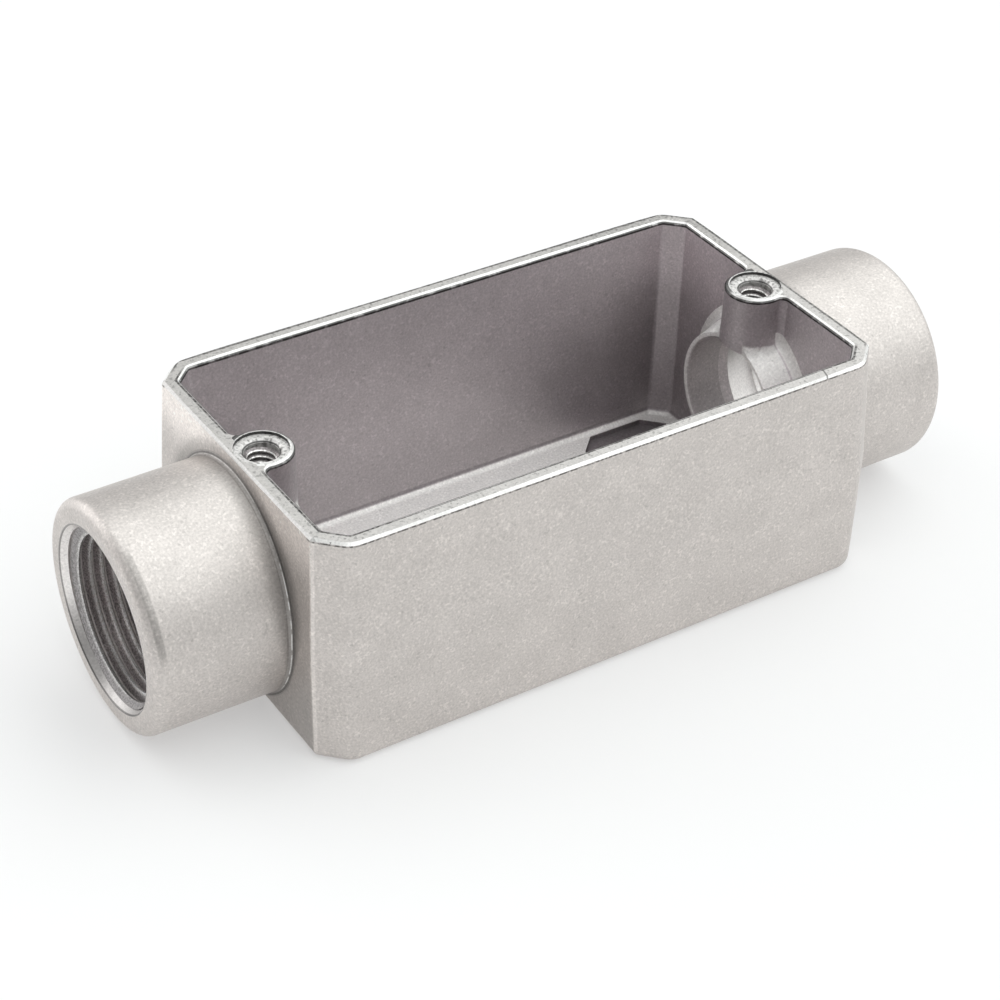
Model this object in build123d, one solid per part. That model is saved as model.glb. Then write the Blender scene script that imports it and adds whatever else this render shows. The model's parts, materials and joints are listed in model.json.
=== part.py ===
from build123d import *
import os
from math import hypot, radians, sqrt, tan

# A cast conduit box: one casting, open on top for a cover, with a threaded hub at each end.
# Millimetres. The origin is on the ground under the middle of the box, +X runs along the hubs
# and +Z points out of the open top.

# The box, measured at its rim
box_length = 119.0
box_width = 65.4
box_height = 47.5
corner_leg = 5.1
corner_round = 0.6
flank_round = 4.5
rim_wall = 3.0
rim_bevel = 0.5
base_thickness = 3.1
base_edge_round = 2.2
cavity_corner_round = 1.0
floor_round = 1.5

# Draft in degrees: the mould halves part at the height of the hub axis
outer_draft_above = 2.6
outer_draft_below = 0.5
cavity_draft = 2.6

# The hubs, for one inch conduit thread
axis_height = 22.3
hub_length = 26.8
hub_ground_gap = 0.11
hub_draft = 0.4
hub_end_round = 2.2
hub_root_round = 0.8
mouth_radius = 17.6
mouth_depth = 1.4
thread_radius = 16.7
thread_depth = 18.5
throat_radius = 13.0
stop_depth = 26.9

# The collar round each throat, inside the box
collar_radius = 14.1
collar_draft = 17.0
collar_reach = 7.3
collar_root_round = 1.8
collar_lip = 0.4

# The cover screw bosses, one in the middle of each end wall
screw_edge_gap = 5.6
boss_radius = 5.9
boss_draft = 1.0
boss_root_round = 1.4
seat_radius = 5.0
seat_depth = 0.6
screw_radius = 3.175
screw_countersink = 0.6
screw_depth = 9.0
drill_point_angle = 59.0

# The shallow recess in the floor in front of each end wall
recess_start = 31.5
recess_end_gap = 2.5
recess_side_gap = 1.5
recess_leg = 4.0
recess_depth = 1.2

# Values worked out from the ones above
half_length = box_length / 2
half_width = box_width / 2
cavity_leg = corner_leg - rim_wall * (2 - sqrt(2))
wall_middle = half_length - rim_wall / 2
hub_end = half_length + hub_length
hub_root_radius = axis_height - hub_ground_gap
hub_radius = hub_root_radius - hub_length * tan(radians(hub_draft))
stop_x = hub_end - stop_depth
thread_end_x = hub_end - thread_depth
collar_front = half_length - rim_wall - collar_reach
screw_spacing = box_length - 2 * screw_edge_gap
screw_x = screw_spacing / 2
past = 2.0
near = 0.25


def outer_growth(z):
    """How far the outside stands out from the rim outline at height z."""
    at_axis = (box_height - axis_height) * tan(radians(outer_draft_above))
    if z > axis_height:
        return (box_height - z) * tan(radians(outer_draft_above))
    return at_axis - (axis_height - z) * tan(radians(outer_draft_below))


def cavity_shrink(z):
    """How far the cavity wall leans in from its place at the rim, at height z."""
    return (box_height - z) * tan(radians(cavity_draft))


def cut_corner_outline(half_x, half_y, leg, z):
    """A rectangle with four cut corners, lying at height z."""
    points = []
    for side_x, side_y in ((1, 1), (-1, 1), (-1, -1), (1, -1)):
        on_long_side = (side_x * (half_x - leg), side_y * half_y)
        on_short_side = (side_x * half_x, side_y * (half_y - leg))
        if side_x == side_y:
            points += [on_short_side, on_long_side]
        else:
            points += [on_long_side, on_short_side]
    return Pos(0, 0, z) * make_face(Polyline(*points, close=True))


def outside_at(z):
    """The outside at height z. Its cut corners run into the long sides in a wide round."""
    grow = outer_growth(z)
    outline = cut_corner_outline(half_length + grow, half_width + grow, corner_leg, z)
    flank_corners = [spot for spot in outline.vertices() if abs(spot.Y) > half_width + grow - near]
    return fillet(flank_corners, flank_round)


def cavity_at(z):
    inset = rim_wall + cavity_shrink(z)
    return cut_corner_outline(half_length - inset, half_width - inset, cavity_leg, z)


def rounded_block(block, low_round, side_round, least_x=0.0):
    """Round a block's lowest edges, and then the edges that climb its corners beyond least_x."""
    block = fillet(block.edges().group_by(Axis.Z)[0], low_round)
    climbing = []
    for edge in block.edges():
        low, high = edge @ 0, edge @ 1
        if abs(high.Z - low.Z) > low_round / 2 and max(abs(low.X), abs(high.X)) > least_x:
            climbing.append(edge)
    return fillet(climbing, side_round)


def box_envelope():
    """The outside of the box as a full block: two frustums that meet at the parting height."""
    lower = loft([outside_at(0), outside_at(axis_height)], ruled=True)
    upper = loft([outside_at(axis_height), outside_at(box_height)], ruled=True)
    return rounded_block(lower + upper, base_edge_round, corner_round, half_length - near)


def cavity():
    """The space inside, open at the top and rounded where the walls meet the floor."""
    space = loft([cavity_at(base_thickness), cavity_at(box_height + past)], ruled=True)
    return rounded_block(space, floor_round, cavity_corner_round)


def turned(points, foot, axis_direction, side_normal=(0, -1, 0)):
    """Revolve a half profile in the XZ plane about the axis through foot."""
    side = Plane(origin=foot, x_dir=(1, 0, 0), z_dir=side_normal)
    profile = side * make_face(Polyline(*points, close=True))
    return revolve(profile, axis=Axis(foot, axis_direction))


def turned_on_hub_axis(points):
    """Revolve a half profile about the hub axis, with the seam of its faces underneath."""
    return turned(points, (0, 0, axis_height), (1, 0, 0), (0, 1, 0))


def hub():
    """The round hub at the +X end, as a full body with a rounded outer edge."""
    body = turned_on_hub_axis([
        (wall_middle, 0),
        (hub_end, 0),
        (hub_end, hub_radius),
        (half_length, hub_root_radius),
        (wall_middle, hub_root_radius),
    ])
    return fillet(body.edges().group_by(Axis.X)[-1], hub_end_round)


def hub_opening():
    """The tapered mouth, the thread bore, the run-out to the throat and the throat itself."""
    inside = screw_x - 2 * boss_radius
    return turned_on_hub_axis([
        (inside, 0),
        (hub_end + past, 0),
        (hub_end + past, mouth_radius),
        (hub_end, mouth_radius),
        (hub_end - mouth_depth, thread_radius),
        (thread_end_x, thread_radius),
        (stop_x, throat_radius),
        (collar_front + collar_lip, throat_radius),
        (collar_front, throat_radius + collar_lip),
        (inside, throat_radius + collar_lip),
    ])


def collar():
    """The tapered collar that carries the throat into the box."""
    deeper = wall_middle - collar_front
    at_root = collar_radius + deeper * tan(radians(collar_draft))
    return turned_on_hub_axis([
        (collar_front, 0),
        (wall_middle, 0),
        (wall_middle, at_root),
        (collar_front, collar_radius),
    ])


def boss_outline(z):
    """The boss circle with a concave fillet on each side into the end wall, at height z."""
    radius = boss_radius + (box_height - z) * tan(radians(boss_draft))
    wall_x = half_length - rim_wall - cavity_shrink(z)
    centre_x = wall_x - boss_root_round
    centre_y = sqrt((radius + boss_root_round) ** 2 - (centre_x - screw_x) ** 2)
    share = radius / (radius + boss_root_round)
    touch_x = screw_x + (centre_x - screw_x) * share
    touch_y = centre_y * share
    upper = [(screw_x, 0), (touch_x, touch_y), (centre_x, centre_y), (half_length, centre_y)]
    lower = [(half_length, -centre_y), (centre_x, -centre_y), (touch_x, -touch_y)]
    web = make_face(Polyline(*upper, *lower, close=True))
    for side in (1, -1):
        web -= Pos(centre_x, side * centre_y) * Circle(boss_root_round)
    return Pos(0, 0, z) * (web + Pos(screw_x, 0) * Circle(radius))


def boss():
    """The screw boss: a drafted post from the rim down to the hub axis."""
    return loft([boss_outline(axis_height), boss_outline(box_height)], ruled=True)


def screw_hole():
    """The sunk seat, a small countersink and the blind hole with its drill point."""
    seat_z = box_height - seat_depth
    hole_z = seat_z - screw_depth
    point = screw_radius / tan(radians(drill_point_angle))
    points = [
        (0, hole_z - point),
        (screw_radius, hole_z),
        (screw_radius, seat_z - screw_countersink),
        (screw_radius + screw_countersink, seat_z),
        (seat_radius, seat_z),
        (seat_radius, box_height + past),
        (0, box_height + past),
    ]
    return turned(points, (screw_x, 0, 0), (0, 0, 1))


def floor_recess():
    """The shallow recess with cut corners in the floor, in front of the +X end wall."""
    inset = rim_wall + cavity_shrink(base_thickness)
    far_x = half_length - inset - recess_end_gap
    half_y = half_width - inset - recess_side_gap
    plan = cut_corner_outline((far_x - recess_start) / 2, half_y, recess_leg, 0)
    middle = Pos((recess_start + far_x) / 2, 0, base_thickness - recess_depth)
    return middle * extrude(plan, recess_depth + floor_round)


def both_ends(shape):
    return [shape, mirror(shape, about=Plane.YZ)]


def edges_round_hub_axis(shape, least_radius, most_radius, most_x):
    """The edges that run round the hub axis between two radii and no further out than most_x."""
    found = []
    for edge in shape.edges():
        spots = [edge @ share for share in (0, 0.5, 1)]
        radii = [hypot(spot.Y, spot.Z - axis_height) for spot in spots]
        round_axis = min(radii) > least_radius and max(radii) < most_radius
        if round_axis and max(abs(spot.X) for spot in spots) < most_x:
            found.append(edge)
    return found


def add_hubs(envelope):
    """The box block with both hubs, filleted where they meet the end walls."""
    outside = envelope
    for shape in both_ends(hub()):
        outside += shape
    most_x = half_length + outer_growth(axis_height) + near
    roots = edges_round_hub_axis(outside, hub_root_radius - near, hub_root_radius + near, most_x)
    return fillet(roots, hub_root_round)


def add_collars_and_bosses(casting, envelope):
    """The collars and screw bosses inside, filleted where the collars meet the end walls."""
    for shape in both_ends((collar() + boss()) & envelope):
        casting += shape
    deepest = collar_reach - cavity_shrink(0)
    least_radius = collar_radius + deepest * tan(radians(collar_draft)) - near
    most_radius = collar_radius + collar_reach * tan(radians(collar_draft)) + near
    roots = edges_round_hub_axis(casting, least_radius, most_radius, half_length - rim_wall)
    above_floor = axis_height - most_radius - base_thickness
    return fillet(roots, min(collar_root_round, above_floor))


def conduit_body():
    envelope = box_envelope()
    casting = add_hubs(envelope) - cavity()
    casting = add_collars_and_bosses(casting, envelope)
    casting = chamfer(casting.edges().group_by(Axis.Z)[-1], rim_bevel)
    for shape in both_ends(hub_opening()) + both_ends(screw_hole()) + both_ends(floor_recess()):
        casting -= shape
    return casting


os.makedirs("parts", exist_ok=True)
result = conduit_body()
export_step(result, "parts/conduit_body.step")
print("volume mm3", round(result.volume), "solids", len(result.solids()), "valid", result.is_valid)
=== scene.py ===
# %% [markdown]
# # A cast conduit body
# An electrician's pull box: one aluminium casting with a threaded hub at each end and a machined
# rim for a cover. The CAD model already has every real shape and size, so this lesson keeps it as
# it is and adds what a casting needs to look real: its blasted skin, its machined faces and the
# threads cut into its hubs and its two screw holes.

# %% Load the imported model
import json
from math import cos, pi, radians, sin, tan

import bpy
from mathutils import Matrix, Vector


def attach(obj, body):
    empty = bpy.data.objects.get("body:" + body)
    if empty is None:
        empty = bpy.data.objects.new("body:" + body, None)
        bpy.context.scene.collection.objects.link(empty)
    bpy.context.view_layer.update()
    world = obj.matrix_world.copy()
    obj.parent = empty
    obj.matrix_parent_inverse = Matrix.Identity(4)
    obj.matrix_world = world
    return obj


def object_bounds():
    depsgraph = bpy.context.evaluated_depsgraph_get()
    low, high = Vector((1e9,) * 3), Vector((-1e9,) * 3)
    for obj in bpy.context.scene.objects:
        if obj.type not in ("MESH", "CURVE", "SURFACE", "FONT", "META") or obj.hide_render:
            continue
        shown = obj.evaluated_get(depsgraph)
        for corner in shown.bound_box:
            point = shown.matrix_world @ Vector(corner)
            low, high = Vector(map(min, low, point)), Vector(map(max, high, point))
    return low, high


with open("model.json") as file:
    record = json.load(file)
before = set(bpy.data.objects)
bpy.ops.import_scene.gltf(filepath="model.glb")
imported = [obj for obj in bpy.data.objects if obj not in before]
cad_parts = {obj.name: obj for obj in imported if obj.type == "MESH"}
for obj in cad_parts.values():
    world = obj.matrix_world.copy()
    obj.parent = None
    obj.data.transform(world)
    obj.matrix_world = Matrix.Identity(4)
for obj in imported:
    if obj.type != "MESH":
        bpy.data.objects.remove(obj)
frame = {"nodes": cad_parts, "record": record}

cad_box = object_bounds()
body = frame["nodes"]["conduit_body"]
mounts = {mount["name"]: mount for mount in frame["record"]["mounts"]}
print("CAD box in mm:", [[round(c * 1000, 2) for c in corner] for corner in cad_box])

# %% [markdown]
# ## The camera
# The photograph's perspective was solved first, from the box's own straight edges. A camera can be
# aimed by hand until the edges line up, but a solved place and turn put every corner on its pixel.
# A long lens keeps the box's sides nearly parallel, as in the photograph.

# %% Place the camera
camera_place = Vector((-0.21086, -0.31329, 0.28919))
camera_turn = (radians(53.938), radians(-1.029), radians(-32.203))
bpy.ops.object.select_all(action="DESELECT")
bpy.ops.object.camera_add(location=camera_place, rotation=camera_turn)
camera = bpy.context.object
camera.data.lens = 87.78
camera.data.shift_x = 0.0174
camera.data.shift_y = 0.0073
camera.data.clip_start = 0.01
bpy.context.scene.camera = camera
bpy.context.scene.view_settings.view_transform = "Standard"
print("camera stands", round(camera_place.length, 3), "m from the origin")

# %% [markdown]
# ## Light and floor
# Bare metal has hardly any colour of its own and shows what is around it, so the room matters as
# much as the material. One lamp would do for a painted thing, but metal needs something to mirror in
# every direction. So the room itself is lit: a broad soft box high at the right makes the bright
# band along the tops of the hubs, a smaller and stronger one low at the back left lights the far
# side, and between them the room is a plain mid grey, which makes the darker band along each hub's
# flank.

# %% Lay the floor
bpy.ops.object.select_all(action="DESELECT")
bpy.ops.mesh.primitive_plane_add(size=6.0, location=(0, 0, 0))
floor = bpy.context.object
floor.name = "floor"
print("floor laid")


# %% Start a node tree and feed its sockets
def new_material(name):
    """A material with its tree and its Principled shader."""
    material = bpy.data.materials.new(name)
    material.use_nodes = True
    return material, material.node_tree, material.node_tree.nodes["Principled BSDF"]


def node_beside(kind, *values):
    """A new node in the tree of the first value that is a socket."""
    sockets = [value for value in values if isinstance(value, bpy.types.NodeSocket)]
    return sockets[0].id_data.nodes.new(kind)


def put(socket, value):
    """Give a socket a number, a colour or another node's output."""
    if isinstance(value, bpy.types.NodeSocket):
        socket.id_data.links.new(value, socket)
    else:
        socket.default_value = value


print("node helpers ready")


# %% Sums on sockets
def calculate(operation, *values):
    """A Math node on numbers or sockets."""
    node = node_beside("ShaderNodeMath", *values)
    node.operation = operation
    for socket, value in zip(node.inputs, values):
        put(socket, value)
    return node.outputs[0]


def plus(first, second):
    return calculate("ADD", first, second)


def minus(first, second):
    return calculate("SUBTRACT", first, second)


def times(first, second):
    return calculate("MULTIPLY", first, second)


def size_of(value):
    return calculate("ABSOLUTE", value)


def smaller(first, second):
    return calculate("MINIMUM", first, second)


def larger(first, second):
    return calculate("MAXIMUM", first, second)


print("sums ready")

# %% Paint the floor white
floor_colour = (0.88, 0.88, 0.88, 1)
glow_share = 0.35
floor_paint, tree, shader = new_material("white_paper")
shader.inputs["Base Color"].default_value = floor_colour
shader.inputs["Roughness"].default_value = 0.9
shader.inputs["Specular IOR Level"].default_value = 0.1
path = tree.nodes.new("ShaderNodeLightPath").outputs
seen = larger(path["Is Camera Ray"], path["Is Glossy Ray"])
seen = larger(seen, path["Is Transmission Ray"])
glow = tree.nodes.new("ShaderNodeEmission")
mixed = tree.nodes.new("ShaderNodeMixShader")
put(mixed.inputs[0], times(seen, glow_share))
put(mixed.inputs[1], shader.outputs[0])
put(mixed.inputs[2], glow.outputs[0])
put(tree.nodes["Material Output"].inputs["Surface"], mixed.outputs[0])
floor.data.materials.append(floor_paint)
print("floor is", floor_paint.name)


# %% Smooth steps and blended colours
def ramp(value, start, end, low=0.0, high=1.0):
    """Goes smoothly from low to high while the value goes from start to end."""
    node = node_beside("ShaderNodeMapRange", value)
    node.interpolation_type = "SMOOTHSTEP"
    settings = {"Value": value, "From Min": start, "From Max": end, "To Min": low, "To Max": high}
    for name, setting in settings.items():
        put(node.inputs[name], setting)
    return node.outputs[0]


def blend_colours(share, first, second):
    """The first colour where share is 0 and the second where it is 1."""
    node = node_beside("ShaderNodeMix", share)
    node.data_type = "RGBA"
    # A Mix node has inputs for every kind of data. Its colours are inputs 6 and 7 and output 2.
    put(node.inputs["Factor"], share)
    put(node.inputs[6], first)
    put(node.inputs[7], second)
    return node.outputs[2]


print("steps and blends ready")


# %% Light the room
def soft_box(direction, azimuth, elevation, half_width, strength):
    """Light from one side of the room: full over the inner half of its width, gone at its edge."""
    azimuth, elevation, half_width = radians(azimuth), radians(elevation), radians(half_width)
    aim = Vector((cos(elevation) * cos(azimuth), cos(elevation) * sin(azimuth), sin(elevation)))
    node = node_beside("ShaderNodeVectorMath", direction)
    node.operation = "DOT_PRODUCT"
    put(node.inputs[0], direction)
    put(node.inputs[1], aim)
    away = calculate("ARCCOSINE", node.outputs["Value"])
    return ramp(away, half_width / 2, half_width, strength, 0.0)


room_grey = 0.45
white = (1, 1, 1, 1)
cool_white = (0.965, 1.0, 0.995, 1)
room = bpy.data.worlds.new("studio_room")
room.use_nodes = True
bpy.context.scene.world = room
tree = room.node_tree
towards = tree.nodes.new("ShaderNodeTexCoord").outputs["Generated"]
high_box = soft_box(towards, azimuth=-19, elevation=62, half_width=70, strength=1.2)
low_box = soft_box(towards, azimuth=122, elevation=18, half_width=33, strength=1.7)
light = plus(room_grey, plus(high_box, low_box))
put(tree.nodes["Background"].inputs["Strength"], light)
in_high_box = calculate("DIVIDE", high_box, light)
put(tree.nodes["Background"].inputs["Color"], blend_colours(in_high_box, white, cool_white))
print("room lit by two soft boxes")

# %% [markdown]
# ## The casting's skin
# A sand casting is blasted with shot before it is machined, which leaves an even satin grey made of
# tiny dents. A photograph wrapped round the box could show them, but noise in the object's own
# coordinates has no seams and works on every face. Where a cutter has been, the skin is gone and the
# metal is brighter and smoother. The CAD mesh is one piece and is left alone, so those places are
# found by position: a mask is a number for each point of the surface, 1 where something holds and 0
# elsewhere.

# %% Where a point of the surface is
mm = 0.001


def metres(*lengths):
    """Millimetres as metres."""
    return [length * mm for length in lengths]


def distance(first, second):
    """How far a point is from an axis, from its two sideways offsets."""
    return calculate("SQRT", plus(times(first, first), times(second, second)))


skin, tree, shader = new_material("blasted_aluminium")
coordinates = tree.nodes.new("ShaderNodeTexCoord").outputs["Object"]
split = tree.nodes.new("ShaderNodeSeparateXYZ")
put(split.inputs[0], coordinates)
along, across, height = split.outputs
facing = tree.nodes.new("ShaderNodeSeparateXYZ")
put(facing.inputs[0], tree.nodes.new("ShaderNodeNewGeometry").outputs["True Normal"])
endward, _, upward = facing.outputs
from_middle = size_of(along)
from_side = size_of(across)
rim_height = cad_box[1].z
axis_height = mounts["hub_right"]["pos_m"][2]
screw_place = mounts["cover_screw_right"]["pos_m"][0]
from_hub_axis = distance(across, minus(height, axis_height))
from_screw = distance(across, minus(from_middle, screw_place))
print("rim at", round(rim_height / mm, 1), "mm, hub axis at", round(axis_height / mm, 1), "mm")

# %% Masks made from numbers
hair, crisp, gentle = metres(0.06, 0.1, 1.0)


def band(value, start, end, soft):
    """1 while the value is between start and end, and 0 outside, with soft edges."""
    return times(ramp(value, start - soft, start), ramp(value, end, end + soft, 1.0, 0.0))


def below(value, limit, soft):
    """1 while the value is below the limit."""
    return ramp(value, limit, limit + soft, 1.0, 0.0)


def above(value, limit, soft):
    """1 while the value is above the limit."""
    return ramp(value, limit - soft, limit)


def all_of(*masks):
    """1 only where every mask is 1."""
    result = masks[0]
    for mask in masks[1:]:
        result = times(result, mask)
    return result


def any_of(*masks):
    """1 where any of the masks is 1."""
    result = masks[0]
    for mask in masks[1:]:
        result = larger(result, mask)
    return result


def opposite(mask):
    """1 where the mask is 0."""
    return minus(1.0, mask)


print("most masks have edges", round(hair / mm, 2), "to", round(gentle / mm, 2), "mm soft")

# %% Inside and outside
cavity_end, cavity_side, underside = metres(57.0, 30.0, 1.0)
inside = all_of(below(from_middle, cavity_end, hair), below(from_side, cavity_side, hair),
                above(height, underside, hair))
outside = opposite(inside)
print("the inside ends", round(cavity_end / mm, 1), "mm from the middle")

# %% [markdown]
# ## Cut faces and cast faces
# After casting, a mill faces the rim, a counterbore sinks a seat for each screw head, and a tap and
# a reamer clean out the hubs. The inside is greyer and a little purple. Its floor and collars, which
# face the light, are given a paler colour as painted light. Separate materials on separate faces
# would give hard borders, so one material blends its colours by the masks.

# %% Where a cutter has been
mouth_radius, throat_end, seat_radius, seat_reach, bevel = metres(17.7, 59.4, 5.05, 13, 0.5)
level = above(upward, 0.95, 0.05)
sloping = band(upward, 0.45, 0.9, 0.03)
near_top = above(height, rim_height - bevel, hair)
on_rim = all_of(above(height, rim_height - hair, hair), level)
on_bevel = all_of(near_top, sloping)
near_screw = below(from_screw, seat_radius, hair)
on_seat = all_of(near_screw, above(height, rim_height - seat_reach, gentle))
on_bore = all_of(below(from_hub_axis, mouth_radius, hair), above(from_middle, throat_end, hair))
machined = any_of(on_rim, on_bevel, on_seat, on_bore)
print("machined: rim, bevels, seats and bores")

# %% The recess, the floor and the throats
recess_start, recess_top, throat_radius = metres(31.6, 2.9, 13.2)
floor_top = metres(3.5, 0.4)
recess = all_of(inside, below(height, recess_top, crisp), above(from_middle, recess_start, hair))
on_floor = all_of(inside, below(height, *floor_top), opposite(recess))
in_throat = all_of(below(from_hub_axis, throat_radius, hair), below(from_middle, throat_end, hair))
print("floor and recesses told apart at", round(recess_top / mm, 1), "mm up")

# %% The collars and the rings round the screw seats
collar_length, collar_thickness = metres(49.1, 54.6, 0.15), metres(13.3, 16.0, 0.1)
root_length, root_thickness = metres(55.1, 57.0, 0.15), metres(15.7, 18.2, 0.1)
collar_top, ring_radius = metres(36.6, 5.6)
on_collar = all_of(inside, band(from_middle, *collar_length), band(from_hub_axis, *collar_thickness),
                   below(height, collar_top, gentle))
collar_root = all_of(inside, band(from_middle, *root_length), band(from_hub_axis, *root_thickness),
                     above(upward, 0.05, 0.1))
boss_ring = all_of(near_top, band(from_screw, seat_radius, ring_radius, crisp),
                   below(from_middle, cavity_end, 2 * crisp))
# Painted light: the floor, the collars and their roots face the light, so their colour is made paler.
painted_light_faces = any_of(on_floor, on_collar, collar_root)
print("bright cast faces: floor, collars and their roots")

# %% Colours, each laid over the ones before
blasted_colour = (0.642, 0.605, 0.580, 1)
# The bevels and boss rings are cut metal, and this pale colour also paints a highlight along them.
edge_highlight_colour = (0.86, 0.85, 0.83, 1)
metal_colours = [
    (inside, (0.59, 0.545, 0.56, 1)),
    (painted_light_faces, (0.86, 0.84, 0.82, 1)),
    (in_throat, (0.60, 0.555, 0.56, 1)),
    (on_bore, (0.86, 0.83, 0.81, 1)),
    (on_rim, (0.635, 0.615, 0.595, 1)),
    (on_seat, (0.80, 0.78, 0.76, 1)),
    (any_of(on_bevel, boss_ring), edge_highlight_colour),
]
colour = blasted_colour
for mask, metal_colour in metal_colours:
    colour = blend_colours(mask, colour, metal_colour)
print(len(metal_colours), "colours laid over the blasted one")

# %% [markdown]
# ## Dents and spots
# Shot leaves dents about half a millimetre wide, which glint and shade by turns, and here and there
# a gas hole or a bright knock. Displacing the mesh would need millions of faces, so the finest noise
# is used twice, for small changes of colour here and for bump at the end. Noise mostly stays near
# 0.5, so a high limit on it leaves only a few spots.


# %% Grain, mottle, pits and breaks
def noise(place, size, detail=2.0, roughness=0.5):
    """Noise from 0 to 1 whose lumps are about as wide as size, in metres."""
    node = node_beside("ShaderNodeTexNoise", place)
    put(node.inputs["Vector"], place)
    node.inputs["Scale"].default_value = 1 / size
    node.inputs["Detail"].default_value = detail
    node.inputs["Roughness"].default_value = roughness
    return node.outputs["Fac"]


grain = noise(coordinates, 0.45 * mm, detail=3.0, roughness=0.6)
mottle = noise(coordinates, 6 * mm, detail=3.0)
pits = noise(coordinates, 0.7 * mm, detail=1.0)
breaks = noise(coordinates, 1.6 * mm)
light_lumps = noise(coordinates, 0.9 * mm, detail=1.5)
dark_lumps = noise(coordinates, 1.1 * mm, detail=1.5, roughness=0.6)
print("six noises, with lumps from 0.45 to 6 mm wide")

# %% Spots made from the noise
speckle = times(ramp(grain, 0.25, 0.75, 0.88, 1.12), ramp(mottle, 0.3, 0.7, 0.97, 1.03))
specks = all_of(above(light_lumps, 0.67, 0.06), opposite(machined))
holes = above(dark_lumps, 0.71, 0.04)
rim_spots = all_of(any_of(on_rim, on_seat), above(pits, 0.66, 0.05))
seat_spots = all_of(on_seat, ramp(pits, 0.42, 0.68))
print("speckle all over, specks and holes in the skin, spots on the rim and seats")

# %% [markdown]
# ## Painted shadow lines along the machined edges
# Thin dark lines are painted as shadow under the rim's bevels and along its edges, and one spot of
# the near rim has a nick. Grooves a third of a millimetre wide would vanish in the mesh, so the
# lines are painted, by how far a point lies inside the rim's outline, and a noise breaks them up.


# %% How far a point lies from the rim's edges
def inside_outline(end, side, corner):
    """How far inside a rectangle with cut corners a point lies, seen from above."""
    straight_sides = smaller(minus(side, from_side), minus(end, from_middle))
    cut_corners = times(minus(corner, plus(from_side, from_middle)), cos(pi / 4))
    return smaller(straight_sides, cut_corners)


outer_gap = inside_outline(*metres(59.0, 32.2, 86.39))
inner_gap = times(inside_outline(*metres(57.0, 30.2, 83.56)), -1)
to_far_right = plus(times(across, 2.0), along)
half_border = metres(6, 6)
far_half = above(to_far_right, *half_border)
print("gaps measured to the rim's outer and inner edge")


# %% Painted shadow lines under the rim's bevels
def broken(pattern, start, end, least):
    """Breaks a line up: full where a noise is above end, and down to least where it is low."""
    return ramp(pattern, start, end, least, 1.0)


inner_low, inner_high, outer_low, outer_high, outer_soft = metres(0.85, 0.32, 0.78, 0.52, 0.08)
long_side = 27 * mm
# Painted shadow: a thin dark line just under the inner bevel and under the outer bevel.
inner_shadow_line = all_of(inside, opposite(near_screw), broken(breaks, 0.3, 0.5, least=0.7),
                    band(height, rim_height - inner_low, rim_height - inner_high, crisp))
outer_shadow_line = all_of(outside, above(from_side, long_side, gentle), broken(pits, 0.35, 0.6, least=0.3),
                    band(height, rim_height - outer_low, rim_height - outer_high, outer_soft))
print("lines", round(inner_low / mm, 2), "and", round(outer_low / mm, 2), "mm under the rim")

# %% Painted shadow lines and shade on the rim itself
edge_width, lip_width, boss_reach = metres(0.34, 0.12), metres(0.36, 0.1), metres(8, 1)
boss_edge = metres(5.24, 6.0, 0.06)
far_rim_start, far_rim_end, bevel_end = metres(70, 110, 58.8)
# Painted shadow lines: along the rim's outer edge on its far half, its inner edge on its near half, and
# each boss ring's far edge.
edge_shadow_line = all_of(on_rim, far_half, below(outer_gap, *edge_width), broken(pits, 0.3, 0.6, least=0.6))
lip_shadow_line = all_of(on_rim, opposite(far_half), below(inner_gap, *lip_width),
                  above(from_screw, *boss_reach), broken(pits, 0.3, 0.6, least=0.5))
boss_far_shadow = all_of(near_top, band(from_screw, *boss_edge), above(across, gentle, 2 * gentle),
                  below(from_middle, cavity_end, hair))
# Painted shade: the rim's far and right-hand stretch is darkened.
far_rim_shade = all_of(on_rim, ramp(to_far_right, far_rim_start, far_rim_end),
                 broken(pits, 0.35, 0.65, least=0.35))
end_bevel = all_of(on_bevel, outside, above(from_middle, bevel_end, crisp))
print("edge line, lip line and the bosses' far edges")

# %% The nick across the near rim
nick_turn = radians(15.53)
nick_place, nick_width, near_rim = metres(52.62, 0.12, -28)
nick_line = minus(times(along, cos(nick_turn)), times(across, sin(nick_turn)))
nick = all_of(near_top, below(across, near_rim, hair),
              below(size_of(minus(nick_line, nick_place)), nick_width, crisp))
print("nick", round(nick_width * 2 / mm, 2), "mm wide")

# %% [markdown]
# ## Painted shade by place
# The threads, the seats, the bores and the corners of the casting are given painted shade, so that
# its deep places are darker than the room's light alone makes them, and a few walls get painted
# light. Painting the shade by hand on the mesh would need an unwrapped surface. Here it follows
# from where a point is, and every mask fades out softly, so that no border shows.

# %% Shade in the seats
seat_edge, sink_ring = metres(4.9, 5.1, 0.06), metres(3.24, 3.42, 0.03)
seat_wall_low, screw_wall_radius, screw_wall_low, screw_wall_soft = metres(0.7, 3.3, 1.2, 1.5)
seat_wall = all_of(band(from_screw, *seat_edge), below(upward, 0.4, 0.1),
                   above(height, rim_height - seat_wall_low, hair))
sink_edge = all_of(on_seat, band(from_screw, *sink_ring), above(breaks, 0.42, 0.1))
screw_wall_shade = all_of(on_seat, below(from_screw, screw_wall_radius, hair),
                          below(height, rim_height - screw_wall_low, screw_wall_soft))
print("shade in the seats and screw holes")

# %% Shade in the bores
thread_length, run_out_end, run_out_height = metres(67.8, 84.7, 0.2), metres(68, 1), metres(12, 28)
mouth_start, bottom_start, bottom_height = metres(86.1, 84, 8)
thread_zone = all_of(on_bore, band(from_middle, *thread_length))
mouth_edge = all_of(on_bore, above(from_middle, mouth_start, hair))
bore_bottom = all_of(on_bore, above(from_middle, bottom_start, hair),
                     below(height, bottom_height, bottom_height))
run_out = all_of(on_bore, below(from_middle, *run_out_end), ramp(height, *run_out_height))
print("shade in the bores")
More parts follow.
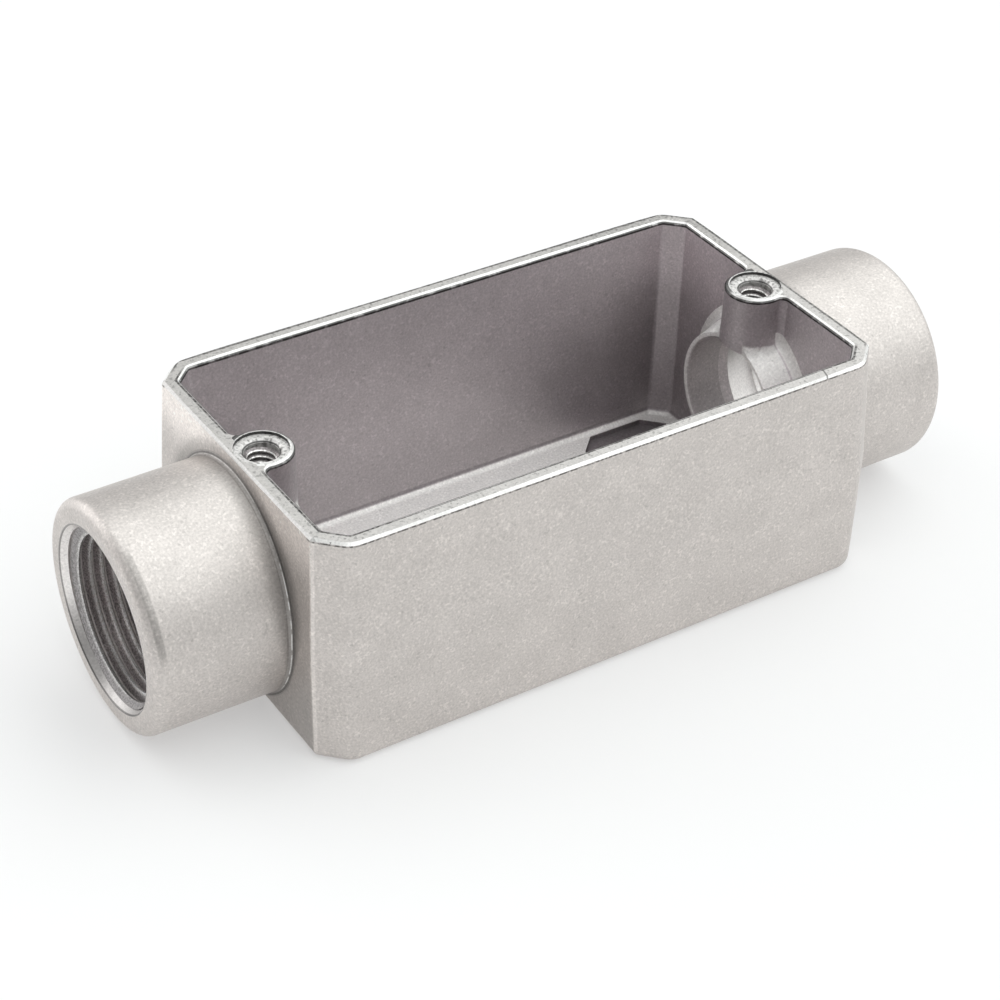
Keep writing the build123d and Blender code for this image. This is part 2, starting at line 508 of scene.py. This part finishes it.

# %% Painted shade and light on the inner walls
floor_edge, post_reach = metres(3.9, 4.3, 0.3), metres(7.0, 0.5)
right_end, far_side, low_down = metres(52, 14), metres(0, 10), metres(30, 10)
right_part, far_wall, high_up = metres(24, 34), metres(15, 10), metres(38, 22)
left_part, at_foot = metres(24, 14), metres(7, 16)
floor_line = all_of(inside, band(height, *floor_edge))
deep_corner = all_of(inside, above(along, *right_end), above(across, *far_side), below(height, *low_down))
# Painted light: the upper part of the far right inner wall is made paler.
painted_light_wall_top = all_of(inside, above(height, *high_up), above(along, *right_part), above(across, *far_wall))
wall_foot = all_of(inside, below(height, *at_foot), below(along, *left_part), opposite(on_floor))
post = all_of(inside, below(from_screw, *post_reach), below(height, rim_height - mm, hair))
print("shade on the inner walls")

# %% Painted light and shade on the end walls
end_wall_place, clear_of_root = metres(59.4, 61.2, 0.1), metres(22.6, 0.4)
tone_up, tone_down = metres(34, 45), metres(6, 28)
end_wall = all_of(outside, band(from_middle, *end_wall_place), above(from_hub_axis, *clear_of_root),
                  below(height, rim_height - bevel, hair), above(size_of(endward), 0.95, 0.05))
# Painted light at the tops of the end walls and painted shade at their feet.
wall_light_and_shade = times(ramp(height, *tone_up, 0.92, 1.4), ramp(height, *tone_down, 0.80, 1.0))
print("end walls paler at their tops and darker at their feet")

# %% A painted dark reflection round the left hub's rounded end
round_length, round_height, round_side = metres(84.0, 84.9, 0.4), metres(30, 42, 5), metres(-11, 4)
hub_flank = 20 * mm
end_round_dark_reflection = all_of(outside, band(from_middle, *round_length), above(from_hub_axis, hub_flank, gentle),
                   below(across, *round_side), band(height, *round_height), below(along, 0.0, gentle),
                   broken(pits, 0.3, 0.65, least=0.7))
print("left hub's end shaded")

# %% [markdown]
# ## The hubs' roots and the upright corners
# Each hub grows out of its end wall with a small fillet, which is given painted shade, a painted
# dark line on one side and a bright, broken painted highlight line. The end wall leans, because a
# pattern has to be drawn out of its sand, so the wall's place is worked out from the same draft
# angles as the CAD's. From that, each point's distance past the wall and past the hub is known, and
# both are small only in the root. The box's upright corners get a painted highlight line in the
# same way.

# %% How far a point stands out from the end wall and the hub
draft_above, draft_below = tan(radians(2.6)), tan(radians(0.5))
wall_at_rim, hub_root_radius = metres(59.5, 22.19)
wall_above = times(minus(rim_height, height), draft_above)
wall_below = plus(times(minus(axis_height, height), -draft_below),
                  (rim_height - axis_height) * draft_above)
wall_place = plus(smaller(wall_above, wall_below), wall_at_rim)
past_wall = minus(from_middle, wall_place)
past_hub = minus(from_hub_axis, hub_root_radius)
print("end walls lean from", round(wall_at_rim / mm, 1), "mm at the rim")

# %% The root's painted highlight line and its painted shade
root_round, groove_side = metres(-0.1, 0.9, 0.1), metres(0.2, 0.6, 0.1)
line_width, line_bottom, line_top = metres(0.08, 0.1), metres(12, 6), metres(30, 40)
shade_height, shade_reach = metres(12, 30), metres(0.9, 4.6)
in_root = all_of(band(past_wall, *root_round), band(past_hub, *root_round))
root_side = minus(past_hub, past_wall)
# Painted shade: a thin dark line beside the root's highlight line.
root_dark_line = all_of(in_root, band(root_side, *groove_side))
# Painted highlight: a thin, broken bright line along the hub's root fillet.
root_highlight_line = all_of(in_root, below(size_of(root_side), *line_width), above(breaks, 0.55, 0.15),
                   above(height, *line_bottom), ramp(height, *line_top, 1.0, 0.3))
root_reach = ramp(height, *shade_height, *shade_reach)
root_gap = calculate("DIVIDE", larger(past_wall, past_hub), root_reach)
root_shade = all_of(outside, below(root_gap, 0.25, 0.75), above(past_wall, -crisp, crisp),
                    above(past_hub, -crisp, crisp))
print("flash line and shade at the hubs' roots")

# %% Painted highlight lines on the upright corners
corner_shift, clear_of_hub, clear_of_ground = metres(31.75, 23, 2.2)
corner_width, corner_back, corner_front = metres(0.4, 0.3), metres(-0.45, 0.1), metres(0.3, 0.1)
from_corner = size_of(minus(from_side, minus(wall_place, corner_shift)))
# Painted highlight: a thin bright line along each upright corner, stronger at the right end.
corner_highlight_line = all_of(outside, above(past_wall, *corner_back), below(past_wall, *corner_front),
                     below(from_corner, *corner_width), above(from_hub_axis, clear_of_hub, gentle),
                     above(height, clear_of_ground, gentle))
right_corner_highlight_line = all_of(corner_highlight_line, above(along, 0.0, gentle))
print("upright corners found")

# %% [markdown]
# ## Putting the skin together
# Each mask has a tone, which the colour is multiplied by where the mask is 1: below 1 it darkens and
# above 1 it lightens. A painter would glaze the shadows one over another in the same way. The skin
# is fully metallic and fairly rough, so that it takes its light and dark from the room. The seats,
# the bevels and the floor are less metallic, because they look pale from every side, and the cut
# faces are smoother.


# %% Lighten and darken the colour
def straight(mask, low, high):
    """Goes in a straight line from low to high while the mask goes from 0 to 1."""
    return calculate("MULTIPLY_ADD", mask, high - low, low)


tones = [
    (rim_spots, 0.70), (far_rim_shade, 0.66), (seat_spots, 0.55), (holes, 0.88), (specks, 1.09),
    (inner_shadow_line, 0.12), (outer_shadow_line, 0.25), (edge_shadow_line, 0.30), (lip_shadow_line, 0.18), (boss_far_shadow, 0.15),
    (end_bevel, 0.70), (nick, 0.40), (seat_wall, 0.05), (sink_edge, 0.20), (screw_wall_shade, 0.70),
    (thread_zone, 0.95), (mouth_edge, 0.40), (bore_bottom, 0.55), (run_out, 0.50),
    (floor_line, 0.85), (recess, 0.58), (deep_corner, 0.75), (painted_light_wall_top, 1.22), (wall_foot, 0.83),
    (post, 0.85), (end_round_dark_reflection, 0.67), (root_shade, 0.64), (root_dark_line, 0.55), (in_root, 0.80),
    (corner_highlight_line, 1.15), (right_corner_highlight_line, 1.30),
]
brightness = speckle
for mask, tone in tones:
    brightness = times(brightness, straight(mask, 1.0, tone))
end_wall_tone = plus(times(end_wall, minus(wall_light_and_shade, 1.0)), 1.0)
brightness = times(brightness, end_wall_tone)
print(len(tones) + 1, "tones multiplied together")


# %% The finished colour
def tint(colour, amount):
    """A colour made lighter or darker by an amount round 1."""
    node = node_beside("ShaderNodeVectorMath", colour, amount)
    node.operation = "SCALE"
    put(node.inputs[0], colour)
    put(node.inputs["Scale"], amount)
    return node.outputs[0]


# The root's painted highlight line takes the pale edge colour.
highlight_share = 0.8
colour = blend_colours(times(root_highlight_line, highlight_share), tint(colour, brightness), edge_highlight_colour)
put(shader.inputs["Base Color"], colour)
print("colour made by", len(tree.nodes), "nodes")

# %% Shine and dents
cut_edge = all_of(any_of(on_bevel, boss_ring), opposite(nick), opposite(end_bevel))
pale = any_of(root_highlight_line, painted_light_faces, on_seat)
put(shader.inputs["Metallic"], smaller(straight(pale, 1.0, 0.3), straight(cut_edge, 1.0, 0.6)))
roughness = straight(any_of(on_rim, on_seat, on_bore), 0.52, 0.38)
put(shader.inputs["Roughness"], smaller(roughness, straight(cut_edge, 1.0, 0.3)))
dents = tree.nodes.new("ShaderNodeBump")
dents.inputs["Distance"].default_value = 0.1 * mm
put(dents.inputs["Strength"], straight(machined, 0.4, 0.1))
put(dents.inputs["Height"], grain)
put(shader.inputs["Normal"], dents.outputs["Normal"])
for slot in body.material_slots:
    slot.material = skin
print("skin on", body.name, "with", len(tree.nodes), "nodes")

# %% [markdown]
# ## The threads
# A thread is a V-shaped ridge that winds round the bore. It could be painted on as bump, but seen
# into a bore the crests hide the grooves behind them, and only real geometry does that. The Screw
# modifier winds one closed outline round an axis and climbs by one pitch a turn, as a thread-cutting
# tool does. The ridge's foot lies a little inside the wall, so no gap shows.

# %% Cut metal for the threads
# Painted shade: the thread's colour darkens to half towards the bore's mouth.
mouth_shade_span = metres(82, 84)
# Painted shade in the thread grooves begins and is full at these shares of the tooth, from the crest.
groove_shade_start, groove_shade_full = 0.1, 0.4


def thread_finish(name, offsets, wall_radius, crest_radius, crest_colour, groove_colour):
    """Cut metal that is bright on the crests, with painted shade down in the grooves."""
    metal, tree, shader = new_material(name)
    place = tree.nodes.new("ShaderNodeTexCoord").outputs["Object"]
    split = tree.nodes.new("ShaderNodeSeparateXYZ")
    put(split.inputs[0], place)
    from_axis = distance(*offsets(*split.outputs))
    tooth = wall_radius - crest_radius
    deep = ramp(from_axis, crest_radius + groove_shade_start * tooth, crest_radius + groove_shade_full * tooth)
    mouth_shade = ramp(size_of(split.outputs[0]), *mouth_shade_span, 1.0, 0.5)
    sparkle = noise(place, 0.35 * mm)
    colour = tint(blend_colours(deep, crest_colour, groove_colour), mouth_shade)
    put(shader.inputs["Base Color"], tint(colour, ramp(sparkle, 0.3, 0.7, 0.7, 1.3)))
    shader.inputs["Metallic"].default_value = 1.0
    put(shader.inputs["Roughness"], ramp(sparkle, 0.3, 0.7, 0.45, 0.3))
    print("material", metal.name)
    return metal


def hub_offsets(along, across, height):
    return across, minus(height, axis_height)


def screw_offsets(along, across, height):
    return across, minus(size_of(along), screw_place)


hub_tooth, screw_tooth = metres(1.7, 0.62)
hub_wall = mounts["hub_right"]["dims"]["r_mm"] * mm
hub_crest = hub_wall - hub_tooth
screw_wall = mounts["cover_screw_right"]["dims"]["r_mm"] * mm
screw_crest = screw_wall - screw_tooth
hub_metal = thread_finish("hub_thread_metal", hub_offsets, hub_wall, hub_crest,
                          crest_colour=(0.98, 0.96, 0.94, 1), groove_colour=(0.60, 0.57, 0.57, 1))
screw_metal = thread_finish("screw_thread_metal", screw_offsets, screw_wall, screw_crest,
                            crest_colour=(0.85, 0.83, 0.81, 1), groove_colour=(0.26, 0.24, 0.24, 1))

# %% Outline one thread
foot_share = 0.9
crest_share = 0.16


def closed_outline(name, foot_radius, crest_radius, pitch):
    """The ridge's outline in the XZ plane, as four edges, wide at its foot and narrow at its crest."""
    middle_radius = (foot_radius + crest_radius) / 2
    bpy.ops.object.select_all(action="DESELECT")
    bpy.ops.mesh.primitive_plane_add(size=1.0, rotation=(pi / 2, 0, 0))
    ridge = bpy.context.object
    ridge.name = name
    ridge.dimensions = (foot_radius - crest_radius, foot_share * pitch, 0)
    ridge.location = (middle_radius, 0, 0)
    bpy.ops.object.transform_apply(location=True, rotation=True, scale=True)
    bpy.ops.object.mode_set(mode="EDIT")
    bpy.ops.mesh.delete(type="ONLY_FACE")
    bpy.ops.object.mode_set(mode="OBJECT")
    for corner in ridge.data.vertices:
        if corner.co.x < middle_radius:
            corner.co.z *= crest_share
    return ridge


print("a ridge's foot is", foot_share, "and its crest", round(foot_share * crest_share, 2), "of a pitch")

# %% Taper a thread's ends
least_tooth = 0.02
sunk_foot = 0.1 * mm


def taper_ends(ridge, foot_radius, reach):
    """Let the ridge sink into the wall over its first and last quarter turn, as a cutter leaves it."""
    rings = len(ridge.data.vertices) // 4
    foot = foot_radius + sunk_foot
    for number, corner in enumerate(ridge.data.vertices):
        ring = number // 4
        share = min(ring, rings - 1 - ring) / reach
        if share < 1:
            radius = corner.co.xy.length
            corner.co.xy *= (foot - (foot - radius) * max(share, least_tooth)) / radius


print("the ends keep", least_tooth, "of the tooth, under the wall")

# %% Wind one thread
foot_depth = 0.03


def thread(name, wall_radius, crest_radius, pitch, turns, steps):
    """A right-hand ridge round the Z axis that starts at height 0, as a closed solid."""
    foot_radius = wall_radius + foot_depth * (wall_radius - crest_radius)
    ridge = closed_outline(name, foot_radius, crest_radius, pitch)
    winding = ridge.modifiers.new("winding", "SCREW")
    winding.axis = "Z"
    winding.angle = 2 * pi
    winding.screw_offset = pitch
    winding.iterations = turns
    winding.steps = steps
    winding.render_steps = steps
    bpy.ops.object.modifier_apply(modifier="winding")
    taper_ends(ridge, foot_radius, steps // 4)
    bpy.ops.object.mode_set(mode="EDIT")
    bpy.ops.mesh.select_all(action="SELECT")
    bpy.ops.mesh.fill_holes(sides=4)
    bpy.ops.mesh.normals_make_consistent(inside=False)
    bpy.ops.object.mode_set(mode="OBJECT")
    bpy.ops.object.shade_smooth_by_angle(angle=radians(35))
    return ridge


print("each foot lies", foot_depth, "of the tooth inside the wall")


# %% Settle a thread in its bore
def settle(ridge, place, turn, metal):
    """Turn and move a ridge to its bore, keep its place in its mesh and give it its metal."""
    ridge.rotation_euler = turn.to_euler()
    ridge.location = place
    bpy.ops.object.select_all(action="DESELECT")
    ridge.select_set(True)
    bpy.context.view_layer.objects.active = ridge
    bpy.ops.object.transform_apply(location=True, rotation=True, scale=True)
    ridge.data.materials.append(metal)
    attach(ridge, "root")
    print(ridge.name, "has", len(ridge.data.polygons), "faces")


print("thread tools ready")

# %% Threads in the two hubs
hub_pitch = 0.0254 / 11.5
first_crest = 1.65 * mm
hub_mouth = cad_box[1].x
for side in (1, -1):
    name = "hub_thread_right" if side > 0 else "hub_thread_left"
    turn = Matrix.Rotation(-side * pi / 2, 3, "Y") @ Matrix.Rotation(-pi / 2, 3, "Z")
    ridge = thread(name, hub_wall, hub_crest, hub_pitch, turns=6, steps=96)
    start = Vector((side * (hub_mouth - first_crest), 0, axis_height))
    settle(ridge, start, turn, hub_metal)

# %% Threads in the two screw holes
screw_pitch = 0.0254 / 20
lowest_crest = rim_height - 9.2 * mm
for side in (1, -1):
    name = "screw_thread_right" if side > 0 else "screw_thread_left"
    ridge = thread(name, screw_wall, screw_crest, screw_pitch, turns=6, steps=48)
    settle(ridge, Vector((side * screw_place, 0, lowest_crest)), Matrix.Identity(3), screw_metal)
